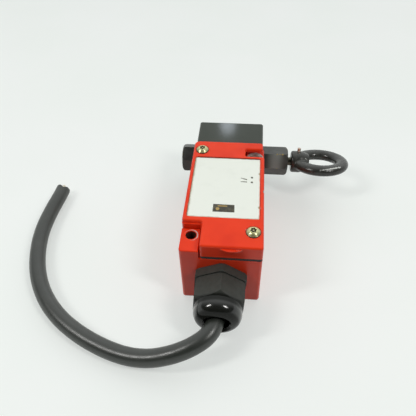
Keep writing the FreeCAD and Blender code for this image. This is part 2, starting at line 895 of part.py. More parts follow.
def terminal_place(side, tab_y, away):
    return side * terminal_x, tab_y + away * terminal_offset


def make_contact_base():
    plate = box(-block_half, block_half, block_y0, block_y1, body_floor, block_z)
    rail = box(-rail_half, rail_half, tower_y0, tower_y1, block_z, carrier_z0 - running_gap)
    stop = box(-end_stop_half, end_stop_half, block_y0, stop_y, block_z, carrier_z1)
    pieces = [rail, stop]
    for x0, x1 in ((-block_half, -tower_x), (tower_x, block_half)):
        pieces.append(box(x0, x1, tower_y0, tower_y1, block_z, tower_top_z))
    base = plate.fuse(pieces).removeSplitter()
    cuts = []
    for x, y in block_screw_places:
        cuts.append(bar_z(x, y, block_screw_d / 2 + hole_gap, body_floor, block_z))
    screw_foot_z = tower_top_z - terminal_grip
    for terminal in terminals:
        x, y = terminal_place(*terminal)
        cuts.append(bar_z(x, y, terminal_screw_d / 2 + thread_gap, screw_foot_z, tower_top_z))
    return base.cut(cuts)


def make_fixed_contacts():
    contacts = []
    for side, tab_y, away in terminals:
        x0, x1 = sorted((side * contact_x, side * (block_half - contact_edge)))
        t0, t1 = sorted((side * contact_x, side * (contact_x + contact_tab)))
        y0, y1 = sorted((tab_y, tab_y + away * contact_strip_width))
        b0, b1 = sorted((tab_y, tab_y + away * contact_strip))
        strip = box(x0, x1, y0, y1, tower_top_z, strip_z)
        tab = box(t0, t1, b0, b1, strip_z, strip_z + contact_tab_height)
        x, y = terminal_place(side, tab_y, away)
        hole = bar_z(x, y, terminal_screw_d / 2 + hole_gap, tower_top_z, strip_z)
        contacts.append(strip.fuse(tab).removeSplitter().cut(hole))
    return contacts


def make_terminal_screws():
    screws = []
    for terminal in terminals:
        x, y = terminal_place(*terminal)
        length = contact_strip + terminal_grip - hole_gap
        screws.append(
            pan_screw_z(x, y, strip_z, terminal_screw_d, terminal_head_d, terminal_head_h, length)
        )
    return screws


def make_block_screws():
    screws = []
    for x, y in block_screw_places:
        length = block_plate + block_screw_grip - hole_gap
        screws.append(
            pan_screw_z(x, y, block_z, block_screw_d, block_screw_head_d, block_screw_head_h, length)
        )
    return screws


def make_earth_screw():
    length = earth_grip - hole_gap
    return pan_screw_z(earth_x, earth_y, body_floor, earth_screw_d, earth_head_d, earth_head_h, length)


# Moving carrier: its two windows hold the bridges, each pressed by its own small spring
def make_carrier():
    bar = box(-carrier_half, carrier_half, carrier_front_y, plunger_end_y, carrier_z0, carrier_z1)
    z0 = bridge_z - bridge_height / 2 - window_margin
    z1 = bridge_z + bridge_height / 2 + window_margin
    windows = (closed_window, open_window)
    cuts = [box(-carrier_half, carrier_half, y0, y1, z0, z1) for y0, y1 in windows]
    return bar.cut(cuts)


def make_bridges():
    half = contact_x + contact_tab + bridge_overhang
    z0 = bridge_z - bridge_height / 2
    feet = (closed_seat_y - bridge_thickness, open_seat_y)
    return [box(-half, half, y, y + bridge_thickness, z0, z0 + bridge_height) for y in feet]


def make_bridge_springs():
    length = window_length - bridge_thickness
    spring = coil(bridge_coil_d, bridge_wire_d, length, (length - bridge_wire_d) / bridge_coil_pitch)
    feet = (closed_window[0], open_window[0] + bridge_thickness)
    return [along(spring, V(0, 1, 0), V(0, y, bridge_z)) for y in feet]


def make_carrier_spring():
    spring = coil(return_coil_d, return_wire_d, carrier_front_y - stop_y, return_turns)
    return along(spring, V(0, 1, 0), V(0, stop_y, head_z))


# Cable gland: threaded body with claws, washer, rubber seal and domed nut
def hex_y(across_flats, y0, y1, chamfer):
    prism = hexagon(V(0, y0, gland_z), across_flats, V(1, 0, 0), V(0, 0, 1), gland_turn)
    prism = prism.extrude(V(0, y1 - y0, 0))
    corner = across_flats / math.sqrt(3)
    profile = [(y0, 0), (y0, corner - chamfer), (y0 + chamfer, corner), (y1 - chamfer, corner)]
    profile += [(y1, corner - chamfer), (y1, 0)]
    return prism.common(spin_y(profile, 0, gland_z))


def make_gland_body():
    thread_r = gland_thread_d / 2 - thread_gap
    thread = bar_y(0, gland_z, thread_r, gland_face_y, front_y + front_wall)
    collar = hex_y(gland_collar_af, collar_end_y, gland_face_y, gland_chamfer)
    spigot = bar_y(0, gland_z, spigot_d / 2, spigot_end_y, collar_end_y)
    body = collar.fuse([thread, spigot]).removeSplitter()
    cuts = [
        bar_y(0, gland_z, gland_bore_d / 2, spigot_end_y, front_y + front_wall),
        bar_y(0, gland_z, spigot_bore_d / 2, spigot_end_y, seal_start_y),
    ]
    for k in range(claw_count):
        slot = box(-claw_slot / 2, claw_slot / 2, spigot_end_y, spigot_end_y + claw_length, 0, spigot_d)
        slot.rotate(V(0, 0, 0), V(0, 1, 0), 360 / claw_count * k)
        slot.translate(V(0, 0, gland_z))
        cuts.append(slot)
    return body.cut(cuts)


def make_gland_washer():
    ring = bar_y(0, gland_z, gland_thread_d / 2 + gland_washer_rim, gland_face_y, front_y)
    return ring.cut(bar_y(0, gland_z, gland_thread_d / 2, gland_face_y, front_y))


def make_gland_seal():
    outer = spigot_bore_d / 2 - thread_gap
    inner = cable_d / 2 + cable_gap
    shoulder_y = spigot_end_y - seal_proud
    profile = [
        (seal_start_y, inner),
        (seal_start_y, outer),
        (shoulder_y, outer),
        (shoulder_y - seal_nose, seal_nose_d / 2),
        (shoulder_y - seal_nose, inner),
    ]
    return spin_y(profile, 0, gland_z)


def make_gland_nut():
    corner = nut_af / math.sqrt(3)
    mouth = nut_mouth_d / 2
    bore = spigot_d / 2 + nut_bore_gap
    cone_y = spigot_end_y - seal_proud
    throat_y = cone_y - nut_cone

    def at(y, radius):
        return V(radius, y, gland_z)

    shoulder = at(nut_end_y + nut_shoulder, nut_dome_r)
    brow_r = mouth + nut_lip
    brow = at(nut_end_y, brow_r)
    bulge_r = brow_r + (nut_dome_r - brow_r) * nut_bulge_out
    bulge = at(nut_end_y + nut_shoulder * nut_bulge_along, bulge_r)
    corners = [
        at(nut_start_y, bore),
        at(nut_start_y, corner - gland_chamfer),
        at(nut_start_y - gland_chamfer, corner),
        at(nut_hex_y, corner),
        at(nut_dome_y, nut_dome_r),
        shoulder,
    ]
    outline = [line(a, b) for a, b in zip(corners, corners[1:])]
    outline.append(Part.Arc(shoulder, bulge, brow).toShape())
    inside = [brow, at(nut_end_y + nut_lip, mouth), at(throat_y, mouth), at(cone_y, bore), corners[0]]
    outline += [line(a, b) for a, b in zip(inside, inside[1:])]
    turned = spin(outline, V(0, 0, gland_z), V(0, 1, 0))
    prism = hexagon(V(0, nut_end_y, gland_z), nut_af, V(1, 0, 0), V(0, 0, 1), gland_turn)
    prism = prism.extrude(V(0, nut_start_y - nut_end_y, 0))
    dome = bar_y(0, gland_z, nut_dome_r, nut_end_y, nut_dome_y)
    return turned.common(prism.fuse(dome))


# Cable and the four cores that it brings to the terminals
def make_cable():
    start = [(x, nut_end_y + y, gland_z) for x, y in cable_start]
    return tube(start + [(x, nut_end_y + y, z) for x, y, z in cable_lay], cable_d)


def make_cores():
    cores = []
    for side in (-1, 1):
        for route in (near_core, far_core):
            cores.append(tube([(side * x, y, z) for x, y, z in route], core_d))
    return cores


save("housing", make_housing())
save("cover", make_cover())
save("cover_gasket", make_cover_gasket())
save("cover_screws", *make_cover_screws())
save("label_plate", make_label())
save("head", make_head())
save("head_gasket", make_head_gasket())
save("head_screws", *make_head_screws())
save("spring_barrel", make_barrel())
save("end_cap", make_end_cap())
save("rod_seal", make_rod_seal())
save("pull_rod", make_pull_rod())
save("cam_cone", make_cam())
save("cam_pin", make_cam_pin())
save("spring_seat", make_spring_seat())
save("return_spring", make_return_spring())
save("rope_eye", make_eye())
save("eye_pin", eye_pin_bar(eye_pin_d / 2, eye_pin_down, eye_pin_up))
save("plunger", make_plunger())
save("plunger_bush", make_plunger_bush())
save("plunger_seal", make_plunger_seal())
save("contact_base", make_contact_base())
save("contact_carrier", make_carrier())
save("contact_bridges", *make_bridges())
save("bridge_springs", *make_bridge_springs())
save("carrier_spring", make_carrier_spring())
save("fixed_contacts", *make_fixed_contacts())
save("terminal_screws", *make_terminal_screws())
save("contact_base_screws", *make_block_screws())
save("earth_screw", make_earth_screw())
save("gland_body", make_gland_body())
save("gland_washer", make_gland_washer())
save("gland_seal", make_gland_seal())
save("gland_nut", make_gland_nut())
save("cable", make_cable())
save("cable_cores", *make_cores())
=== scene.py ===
import json
import math

import bpy
import numpy as np
from mathutils import Matrix, Vector


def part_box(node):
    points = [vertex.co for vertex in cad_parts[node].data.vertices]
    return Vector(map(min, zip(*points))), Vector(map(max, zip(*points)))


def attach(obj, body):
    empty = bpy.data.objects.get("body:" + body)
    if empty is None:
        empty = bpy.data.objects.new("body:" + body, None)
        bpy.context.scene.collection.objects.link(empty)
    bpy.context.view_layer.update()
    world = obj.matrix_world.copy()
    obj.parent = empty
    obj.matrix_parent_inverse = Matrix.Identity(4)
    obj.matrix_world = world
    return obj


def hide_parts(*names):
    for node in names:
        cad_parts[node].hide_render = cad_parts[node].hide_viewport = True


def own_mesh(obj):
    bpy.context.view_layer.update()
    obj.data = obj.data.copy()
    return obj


# Rope pull switch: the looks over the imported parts. Metres, in the part's own frame: +Z points out of the
# cover, +Y runs from the cable gland to the rope head, and the rope pulls along +X.
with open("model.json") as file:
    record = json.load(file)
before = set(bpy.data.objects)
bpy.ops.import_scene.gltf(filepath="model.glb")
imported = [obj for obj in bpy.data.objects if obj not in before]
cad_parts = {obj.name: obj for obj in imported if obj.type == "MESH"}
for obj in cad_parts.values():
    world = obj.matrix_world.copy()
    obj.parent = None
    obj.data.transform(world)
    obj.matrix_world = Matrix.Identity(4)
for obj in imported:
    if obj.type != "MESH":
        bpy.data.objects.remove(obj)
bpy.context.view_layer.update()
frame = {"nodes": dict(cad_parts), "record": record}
parts = frame["nodes"]
MM = 0.001

# Places on the part that the looks need
cover_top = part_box("cover")[1].z
label_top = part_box("label_plate")[1].z
ear_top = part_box("housing")[1].z
hole_x = 15.0 * MM
hole_y = 30.0 * MM
near_hole = (-hole_x, -hole_y)
far_hole = (hole_x, hole_y)
fixing_hole_r = 2.65 * MM
cover_screws = [(hole_x, -hole_y), (-hole_x, hole_y)]
screw_seat = cover_top - 0.3 * MM


# Camera at the photograph's angle
camera_place = Vector((0.009687, -0.172383, 0.20728))
camera_azimuth = math.radians(6.383)
camera_elevation = math.radians(46.217)
camera_roll = math.radians(-1.821)
camera_lens = 39.59


def add_camera():
    flat = math.cos(camera_elevation)
    back = Vector((
        math.sin(camera_azimuth) * flat,
        -math.cos(camera_azimuth) * flat,
        math.sin(camera_elevation),
    ))
    right = Vector((math.cos(camera_azimuth), math.sin(camera_azimuth), 0))
    up = back.cross(right)
    turn = Matrix((right, up, back)).transposed() @ Matrix.Rotation(camera_roll, 3, "Z")
    data = bpy.data.cameras.new("camera")
    data.lens = camera_lens
    data.clip_start = 0.01
    camera = bpy.data.objects.new("camera", data)
    camera.matrix_world = Matrix.Translation(camera_place) @ turn.to_4x4()
    bpy.context.scene.collection.objects.link(camera)
    bpy.context.scene.camera = camera


# Node helpers
def shader(name):
    """New material, its node tree and its Principled shader."""
    made = bpy.data.materials.new(name)
    made.use_nodes = True
    return made, made.node_tree, made.node_tree.nodes["Principled BSDF"]


def add(tree, kind, inputs=None, **settings):
    """Add a node; each input is a socket to link or a constant."""
    node = tree.nodes.new(kind)
    for name, value in settings.items():
        setattr(node, name, value)
    for name, value in (inputs or {}).items():
        if isinstance(value, bpy.types.NodeSocket):
            tree.links.new(value, node.inputs[name])
        else:
            node.inputs[name].default_value = value
    return node


def rgb(red, green, blue):
    return (red, green, blue, 1.0)


def place(tree):
    """Coordinates in the part's frame, in metres."""
    return add(tree, "ShaderNodeTexCoord").outputs["Object"]


def surface_normal(tree):
    return add(tree, "ShaderNodeNewGeometry").outputs["Normal"]


def axes(tree, vector):
    """X, Y and Z of a vector."""
    return add(tree, "ShaderNodeSeparateXYZ", {"Vector": vector}).outputs


def noise(tree, where, scale, detail=2.0, rough=0.5):
    inputs = {"Vector": where, "Scale": scale, "Detail": detail, "Roughness": rough}
    return add(tree, "ShaderNodeTexNoise", inputs).outputs["Fac"]


def level(tree, value, low, high, to_low=0.0, to_high=1.0):
    """Clamped smooth step of a value from low to high."""
    inputs = {"Value": value, "From Min": low, "From Max": high, "To Min": to_low, "To Max": to_high}
    return add(tree, "ShaderNodeMapRange", inputs, interpolation_type="SMOOTHSTEP").outputs["Result"]


def patches(tree, where, scale, low, high, most=1.0, detail=2.0, rough=0.5):
    """0 where a noise is under low, most where it is over high."""
    return level(tree, noise(tree, where, scale, detail, rough), low, high, 0.0, most)


def varied(tree, where, scale, least, most, detail=3.0):
    """Value that a noise moves over its usual range, from least to most."""
    noise_low = 0.3
    noise_high = 0.7
    return level(tree, noise(tree, where, scale, detail), noise_low, noise_high, least, most)


def maths(tree, operation, first, second=0.0):
    return add(tree, "ShaderNodeMath", {0: first, 1: second}, operation=operation).outputs["Value"]


def vectors(tree, operation, first, second):
    return add(tree, "ShaderNodeVectorMath", {0: first, 1: second}, operation=operation).outputs


def blend(tree, factor, first, second):
    """Colour from first to second."""
    node = add(tree, "ShaderNodeMix", {0: factor, 6: first, 7: second}, data_type="RGBA")
    return node.outputs[2]


def bump(tree, height, strength, distance):
    inputs = {"Height": height, "Strength": strength, "Distance": distance}
    return add(tree, "ShaderNodeBump", inputs).outputs["Normal"]


def edge_mask(tree, radius):
    """1 along edges, where the rounded normal leaves the true one."""
    rounded = add(tree, "ShaderNodeBevel", {"Radius": radius}, samples=6).outputs["Normal"]
    match = vectors(tree, "DOT_PRODUCT", surface_normal(tree), rounded)["Value"]
    return level(tree, match, low=0.985, high=0.86)


def spot_mask(tree, where, centre, radius, soft, ragged=0.0):
    """1 inside a ball round centre, with a ragged rim."""
    gap = vectors(tree, "DISTANCE", where, centre)["Value"]
    if ragged:
        wobble = maths(tree, "MULTIPLY", noise(tree, where, scale=900.0, detail=3.0), ragged)
        gap = maths(tree, "ADD", gap, wobble)
    return level(tree, gap, radius + soft, radius)


def bore_mask(tree, where, x, y, radius, rim):
    """1 on the wall of a bore along Z, from a little below its rim."""
    outside = 0.2 * MM
    wall = 0.1 * MM
    fade = 0.6 * MM
    flat = vectors(tree, "MULTIPLY", where, (1.0, 1.0, 0.0))["Vector"]
    gap = vectors(tree, "DISTANCE", flat, (x, y, 0.0))["Value"]
    inside = level(tree, gap, radius + outside, radius + wall)
    return maths(tree, "MULTIPLY", inside, level(tree, axes(tree, where)["Z"], rim, rim - fade))


def connect(tree, paint, **sockets):
    """Link sockets to the shader's inputs by name."""
    names = {
        "colour": "Base Color",
        "rough": "Roughness",
        "metal": "Metallic",
        "normal": "Normal",
        "coat": "Coat Weight",
    }
    for name, socket in sockets.items():
        tree.links.new(socket, paint.inputs[names[name]])


# Red enamel of housing and cover
red_fresh = rgb(0.87, 0.046, 0.008)
red_deep = rgb(0.79, 0.036, 0.006)
# Paler red of the edges, from rubbed paint and a painted edge highlight.
red_wear_and_highlight = rgb(0.86, 0.12, 0.060)
bare_metal = rgb(0.58, 0.59, 0.54)
dirt_brown = rgb(0.20, 0.15, 0.10)
# Dark red painted on the walls of the fixing bores, as shade.
bore_shade = rgb(0.10, 0.030, 0.022)
ring_shift = Vector((0.28 * MM, 0.18 * MM, 0.0))


def red_enamel(name, worn_spots=(), bores=()):
    """Red enamel with soft orange peel, rubbed edges that also carry a painted edge highlight, small chips, bare
    spots or rings at worn_spots and painted shade on the walls of bores. Upright faces keep a coat of gloss that
    dust has dulled on the faces that look up."""
    made, tree, paint = shader(name)
    where = place(tree)
    colour = blend(tree, patches(tree, where, scale=70.0, low=0.35, high=0.7), red_fresh, red_deep)
    edges = edge_mask(tree, radius=0.5 * MM)
    # Painted edge highlight with rubbing: the edges are paled in patches.
    wear_and_highlight = patches(tree, where, scale=240.0, low=0.42, high=0.62, most=0.55, detail=3.0)
    colour = blend(tree, maths(tree, "MULTIPLY", edges, wear_and_highlight), colour, red_wear_and_highlight)
    bare = maths(tree, "MULTIPLY", edges, patches(tree, where, scale=330.0, low=0.66, high=0.69))
    for centre, radius, inner in worn_spots:
        ring = spot_mask(tree, where, centre, radius, soft=0.2 * MM, ragged=0.6 * MM)
        if inner:
            kept = spot_mask(tree, where, centre - ring_shift, inner, soft=0.15 * MM)
            ring = maths(tree, "SUBTRACT", ring, kept)
        bare = maths(tree, "MAXIMUM", bare, ring)
    stain = patches(tree, where, scale=600.0, low=0.52, high=0.72, detail=3.0)
    colour = blend(tree, bare, colour, blend(tree, stain, bare_metal, dirt_brown))
    # Painted shade: the walls of the bores are darkened.
    for x, y in bores:
        bore_shaded = bore_mask(tree, where, x, y, fixing_hole_r, ear_top)
        colour = blend(tree, bore_shaded, colour, bore_shade)
        bare = maths(tree, "SUBTRACT", bare, bore_shaded)
    rough = varied(tree, where, scale=150.0, least=0.33, most=0.44)
    metal = level(tree, bare, low=0.0, high=1.0, to_high=0.45)
    upright = level(tree, axes(tree, surface_normal(tree))["Z"], low=0.2, high=0.8, to_low=0.6, to_high=0.0)
    paint.inputs["Specular IOR Level"].default_value = 0.2
    paint.inputs["Coat Roughness"].default_value = 0.4
    peel = bump(tree, noise(tree, where, scale=420.0), strength=0.12, distance=0.08 * MM)
    connect(tree, paint, colour=colour, rough=rough, metal=metal, normal=peel, coat=upright)
    return made


# Worn places of the red paint, each a centre, a radius and the radius of the paint kept inside it
housing_wear = [
    (Vector((near_hole[0] + 0.2 * MM, near_hole[1] + 0.1 * MM, ear_top)), 3.55 * MM, 3.1 * MM),
    (Vector((*far_hole, ear_top)), 4.75 * MM, 0.0),
]
cover_wear = [
    (Vector((20.0 * MM, -1.8 * MM, 42.0 * MM)), 1.1 * MM, 0.0),
    (Vector((20.0 * MM, -11.5 * MM, 41.3 * MM)), 1.1 * MM, 0.0),
]


# Black finishes of the head, its bushes, the eye, the gland and the cable
black_satin = rgb(0.043, 0.051, 0.040)
black_worn = rgb(0.049, 0.057, 0.046)
black_edge_wear_and_highlight = rgb(0.16, 0.165, 0.155)
black_edge_wear_and_highlight_share = 0.5


def black_enamel(name):
    """Satin black enamel with a fine grain, and edges paled by wear and a painted edge highlight."""
    made, tree, paint = shader(name)
    where = place(tree)
    tone = patches(tree, where, scale=90.0, low=0.3, high=0.75, detail=3.0)
    colour = blend(tree, tone, black_satin, black_worn)
    # Painted edge highlight with wear: the edges are paled.
    edges = maths(tree, "MULTIPLY", edge_mask(tree, radius=0.6 * MM), black_edge_wear_and_highlight_share)
    colour = blend(tree, edges, colour, black_edge_wear_and_highlight)
    rough = varied(tree, where, scale=160.0, least=0.085, most=0.095, detail=2.0)
    grain = bump(tree, noise(tree, where, scale=2600.0), strength=0.10, distance=0.04 * MM)
    paint.inputs["Specular IOR Level"].default_value = 0.22
    connect(tree, paint, colour=colour, rough=rough, normal=grain)
    return made


steel_black = rgb(0.020, 0.021, 0.018)
steel_grey = rgb(0.034, 0.036, 0.031)
eye_dark = rgb(0.027, 0.028, 0.024)
eye_light = rgb(0.046, 0.048, 0.042)
barrel_dark = rgb(0.044, 0.046, 0.040)
barrel_light = rgb(0.062, 0.065, 0.058)
# Paler grey of the painted highlight on the barrel's near side.
steel_painted_glow = rgb(0.245, 0.285, 0.265)
brass_wear = rgb(0.42, 0.32, 0.10)
bare_steel_glint = rgb(0.66, 0.67, 0.63)
wear_fade = 0.05
rough_spread = 0.10
worn_metal = 0.9


def black_steel(name, dark, light, wear_and_glint_colour, wear_low, roughness, lumps, glow_x=None, chips_and_glints=()):
    """Black-finished steel, worn through to the wear colour along its edges and at chips, some of which on the
    eye are also a painted highlight. Its skin is lumpy to the depth lumps, and its near side gets a painted
    highlight round a point along X."""
    made, tree, paint = shader(name)
    where = place(tree)
    tone = patches(tree, where, scale=260.0, low=0.4, high=0.66, detail=4.0, rough=0.6)
    colour = blend(tree, tone, dark, light)
    # Painted highlight: faces that turn to the near side and up are paled round a point along X.
    if glow_x is not None:
        off = maths(tree, "ABSOLUTE", maths(tree, "SUBTRACT", axes(tree, where)["X"], glow_x))
        facing = axes(tree, surface_normal(tree))
        front = level(tree, facing["Y"], low=-0.5, high=-0.85)
        front = maths(tree, "MULTIPLY", front, level(tree, facing["Z"], low=0.0, high=0.3))
        lightened = maths(tree, "MULTIPLY", front, level(tree, off, low=6.5 * MM, high=0.5 * MM))
        colour = blend(tree, lightened, colour, steel_painted_glow)
    wear_and_glints = patches(tree, where, scale=420.0, low=wear_low, high=wear_low + wear_fade, detail=3.0)
    wear_and_glints = maths(tree, "MULTIPLY", edge_mask(tree, radius=0.7 * MM), wear_and_glints)
    # Chips, some of which on the eye are a painted highlight.
    for centre, radius in chips_and_glints:
        bright_spot = spot_mask(tree, where, Vector(centre) * MM, radius * MM, soft=0.15 * MM, ragged=0.7 * MM)
        wear_and_glints = maths(tree, "MAXIMUM", wear_and_glints, bright_spot)
    colour = blend(tree, wear_and_glints, colour, wear_and_glint_colour)
    rough = varied(tree, where, scale=380.0, least=roughness, most=roughness + rough_spread)
    metal = maths(tree, "MULTIPLY", wear_and_glints, worn_metal)
    lumpy = bump(tree, noise(tree, where, scale=380.0, detail=3.0), strength=0.5, distance=lumps)
    connect(tree, paint, colour=colour, rough=rough, metal=metal, normal=lumpy)
    return made


# Worn spots of the steel in millimetres, each a centre and a radius: on the boss of the rope eye, along its
# near bar, and on the barrel's upper edge. The eye's spots sit where highlights fall and are also a painted
# highlight.
def wear_and_glint_row(start, end, count, radius):
    """Row of worn spots from start to end, every other one a little smaller; along the eye's near bar they also
    make a painted highlight streak.
    """
    smaller = 0.12
    spots = []
    for j in range(count):
        centre = Vector(start).lerp(Vector(end), j / count)
        spots.append((centre, radius - smaller * (j % 2)))
    return spots


eye_chips_and_glints = [((46.2, 45.6, 26.1), 0.65), ((46.4, 42.4, 26.5), 0.75)]
eye_chips_and_glints += wear_and_glint_row((53.5, 33.3, 27.85), (57.6, 34.0, 28.1), 4, 0.72)
eye_chips_and_glints += wear_and_glint_row((57.6, 34.0, 28.1), (61.5, 35.4, 27.9), 4, 0.80)
eye_chips_and_glints += wear_and_glint_row((61.5, 35.4, 27.9), (66.4, 38.3, 26.8), 6, 0.80)
barrel_chips = [
    ((28.6, 45.1, 28.9), 0.75),
    ((30.2, 45.1, 28.9), 0.60),
    ((31.8, 45.1, 28.9), 0.85),
]
barrel_middle = (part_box("housing")[1].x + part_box("spring_barrel")[1].x) / 2


nylon_dark = rgb(0.046, 0.049, 0.043)
nylon_light = rgb(0.056, 0.059, 0.052)
nylon_dome = rgb(0.010, 0.011, 0.009)
nylon_edge_wear_and_highlight = rgb(0.10, 0.105, 0.095)
nylon_edge_wear_and_highlight_share = 0.35
dome_smoother = 0.32
dome_y = -57.0 * MM
dome_fade = 1.6 * MM


def gland_nylon(name):
    """Black nylon: satin hexagon, smooth from dome_y on towards the mouth, with a glossy belt round the dome,
    and edges paled by wear and a painted edge highlight."""
    made, tree, paint = shader(name)
    where = place(tree)
    along = axes(tree, where)["Y"]
    gloss = level(tree, along, low=dome_y + dome_fade, high=dome_y)
    belt = level(tree, along, low=dome_y - 1.5 * MM, high=dome_y - 3.2 * MM)
    belt = maths(tree, "MULTIPLY", belt, level(tree, along, low=dome_y - 7.0 * MM, high=dome_y - 5.6 * MM))
    paint.inputs["Specular IOR Level"].default_value = 0.22
    paint.inputs["Coat Roughness"].default_value = 0.14
    colour = blend(tree, varied(tree, where, scale=500.0, least=0.0, most=1.0), nylon_dark, nylon_light)
    colour = blend(tree, gloss, colour, nylon_dome)
    # Painted edge highlight with wear: the edges are paled.
    lightened = maths(tree, "MULTIPLY", edge_mask(tree, radius=0.4 * MM), nylon_edge_wear_and_highlight_share)
    colour = blend(tree, lightened, colour, nylon_edge_wear_and_highlight)
    matt = varied(tree, where, scale=300.0, least=0.42, most=0.52, detail=2.0)
    rough = maths(tree, "SUBTRACT", matt, maths(tree, "MULTIPLY", gloss, dome_smoother))
    grain = maths(tree, "MULTIPLY", noise(tree, where, scale=1500.0), maths(tree, "SUBTRACT", 1.0, gloss))
    grained = bump(tree, grain, strength=0.08, distance=0.05 * MM)
    connect(tree, paint, colour=colour, rough=rough, normal=grained, coat=belt)
    return made


sheath_black = rgb(0.021, 0.025, 0.020)
sheath_dusty = rgb(0.034, 0.039, 0.032)


def sheath(name):
    """Satin black cable sheath with a faintly uneven skin and dust."""
    made, tree, paint = shader(name)
    where = place(tree)
    dust = patches(tree, where, scale=130.0, low=0.45, high=0.75, most=0.6, detail=4.0, rough=0.6)
    colour = blend(tree, dust, sheath_black, sheath_dusty)
    rough = varied(tree, where, scale=220.0, least=0.33, most=0.39)
    uneven = bump(tree, noise(tree, where, scale=700.0, detail=3.0), strength=0.10, distance=0.05 * MM)
    paint.inputs["Specular IOR Level"].default_value = 0.8
    connect(tree, paint, colour=colour, rough=rough, normal=uneven)
    return made


# Yellow zinc of the screws
zinc_bright = rgb(0.68, 0.66, 0.34)
zinc_dull = rgb(0.52, 0.53, 0.28)
zinc_dirt_and_shade = rgb(0.055, 0.045, 0.030)
clean_metal = 0.75
dirt_and_shade_dulls = 0.6


def zinc_yellow(name):
    """Yellow-passivated zinc; its vertex attribute darkens drive recesses and rims with dirt and painted shade.
    """
    made, tree, paint = shader(name)
    where = place(tree)
    tint = patches(tree, where, scale=380.0, low=0.35, high=0.65, detail=3.0)
    colour = blend(tree, tint, zinc_bright, zinc_dull)
    # Painted shade with dirt: darker in drive recesses and round the rims.
    dirt_and_shade = add(tree, "ShaderNodeAttribute", attribute_name="dirt_and_shade").outputs["Fac"]
    colour = blend(tree, dirt_and_shade, colour, zinc_dirt_and_shade)
    rough = varied(tree, where, scale=700.0, least=0.26, most=0.34, detail=2.0)
    metal = maths(tree, "SUBTRACT", clean_metal, maths(tree, "MULTIPLY", dirt_and_shade, dirt_and_shade_dulls))
    scratched = bump(tree, noise(tree, where, scale=1400.0), strength=0.06, distance=0.03 * MM)
    connect(tree, paint, colour=colour, rough=rough, metal=metal, normal=scratched)
    return made


# Label plate
plate_white = rgb(0.865, 0.90, 0.825)
plate_grey = rgb(0.74, 0.78, 0.70)
olive_dirt = rgb(0.30, 0.28, 0.14)
shaded_red = rgb(0.17, 0.030, 0.022)
stain_shares = (0.27, 0.82)
soil_wobble = 1.1 * MM
strip_wobble = 0.35 * MM


def label_white(name):
    """Off-white plate, soiled along its edges and a little all over, with a painted shade line along its far
    edge and red paint over its right edge."""
    made, tree, paint = shader(name)
    where = place(tree)
    low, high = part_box("label_plate")
    split = axes(tree, where)
    from_side = maths(tree, "SUBTRACT", high.x, maths(tree, "ABSOLUTE", split["X"]))
    middle_y = (low.y + high.y) / 2
    from_end = maths(tree, "ABSOLUTE", maths(tree, "SUBTRACT", split["Y"], middle_y))
    from_end = maths(tree, "SUBTRACT", (high.y - low.y) / 2, from_end)
    rim = maths(tree, "MINIMUM", from_side, from_end)
    uneven = maths(tree, "MULTIPLY", noise(tree, where, scale=260.0, detail=4.0), -soil_wobble)
    soiled = level(tree, maths(tree, "ADD", rim, uneven), low=0.5 * MM, high=-0.5 * MM, to_high=0.75)
    blotch = patches(tree, where, scale=110.0, low=0.5, high=0.8, most=0.35, detail=4.0, rough=0.6)
    colour = blend(tree, blotch, plate_white, plate_grey)
    colour = blend(tree, soiled, colour, olive_dirt)
    for share in stain_shares:
        centre = Vector((high.x, high.y - share * (high.y - low.y), high.z))
        stain = spot_mask(tree, where, centre, radius=0.9 * MM, soft=0.7 * MM, ragged=0.5 * MM)
        colour = blend(tree, stain, colour, olive_dirt)
    wobble = maths(tree, "MULTIPLY", noise(tree, where, scale=300.0, detail=3.0), strip_wobble)
    # Painted shade: a dark red line along the far edge, where a recess wall would lie in shade.
    from_far = maths(tree, "ADD", maths(tree, "SUBTRACT", high.y, split["Y"]), wobble)
    far_painted_shade = level(tree, from_far, low=0.85 * MM, high=0.55 * MM, to_high=0.9)
    colour = blend(tree, far_painted_shade, colour, shaded_red)
    from_right = maths(tree, "ADD", maths(tree, "SUBTRACT", high.x, split["X"]), wobble)
    right_strip = level(tree, from_right, low=0.65 * MM, high=0.45 * MM, to_high=0.95)
    colour = blend(tree, right_strip, colour, red_deep)
    rough = varied(tree, where, scale=200.0, least=0.42, most=0.56)
    grain = bump(tree, noise(tree, where, scale=900.0), strength=0.04, distance=0.03 * MM)
    connect(tree, paint, colour=colour, rough=rough, normal=grain)
    return made


